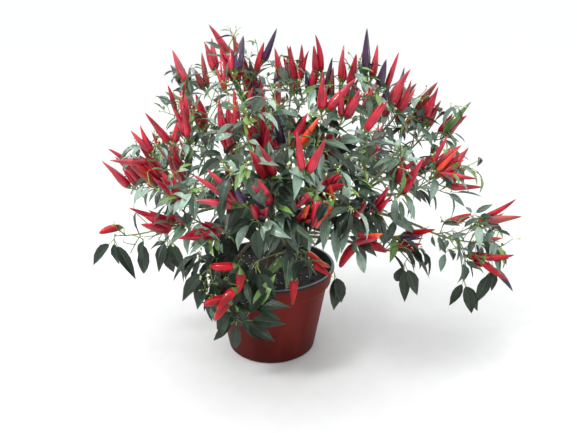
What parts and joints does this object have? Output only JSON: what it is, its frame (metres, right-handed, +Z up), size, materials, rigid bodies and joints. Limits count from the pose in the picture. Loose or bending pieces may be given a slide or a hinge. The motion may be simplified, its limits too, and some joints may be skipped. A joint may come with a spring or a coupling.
{
  "type": "potted ornamental chilli pepper plant",
  "caption": "Bushy ornamental chilli plant with upright slender pods and lance-shaped leaves on arching stems, in a tapered plastic nursery pot of soil.",
  "frame": {"origin": "centre of the pot's flat underside", "axes": "+Z up along the pot's axis, +X towards the side that the crown spreads further to"},
  "size_m": [0.7485, 0.6385, 0.5965],
  "materials": {
    "pot": "satin moulded plastic",
    "soil": "loose potting mix",
    "bark": "thin ridged bark",
    "foliage": "smooth leaves and glossy pods"
  },
  "bodies": {
    "root": {"bough_back": "bark", "bough_back_left": "bark", "bough_back_right": "bark", "bough_back_upper": "bark", "bough_front": "bark", "bough_front_low": "bark", "bough_front_upper": "bark", "bough_inner_right": "bark", "bough_leader": "bark", "bough_left": "bark", "bough_left_back_upper": "bark", "bough_left_front": "bark", "bough_left_front_low": "bark", "bough_left_low": "bark", "bough_left_upper": "bark", "bough_right": "bark", "bough_right_front": "bark", "bough_right_front_low": "bark", "bough_right_high": "bark", "bough_right_low": "bark", "bough_right_middle": "bark", "bough_right_upper": "bark", "bough_top_left": "bark", "bough_top_right": "bark", "pot": "pot", "soil": "soil", "spray_back": "foliage", "spray_back_left": "foliage", "spray_back_right": "foliage", "spray_back_upper": "foliage", "spray_front": "foliage", "spray_front_low": "foliage", "spray_front_upper": "foliage", "spray_inner_right": "foliage", "spray_leader": "foliage", "spray_left": "foliage", "spray_left_back_upper": "foliage", "spray_left_front": "foliage", "spray_left_front_low": "foliage", "spray_left_low": "foliage", "spray_left_upper": "foliage", "spray_right": "foliage", "spray_right_front": "foliage", "spray_right_front_low": "foliage", "spray_right_high": "foliage", "spray_right_low": "foliage", "spray_right_middle": "foliage", "spray_right_upper": "foliage", "spray_top_left": "foliage", "spray_top_right": "foliage", "trunk": "bark"}
  },
  "joints": []
}
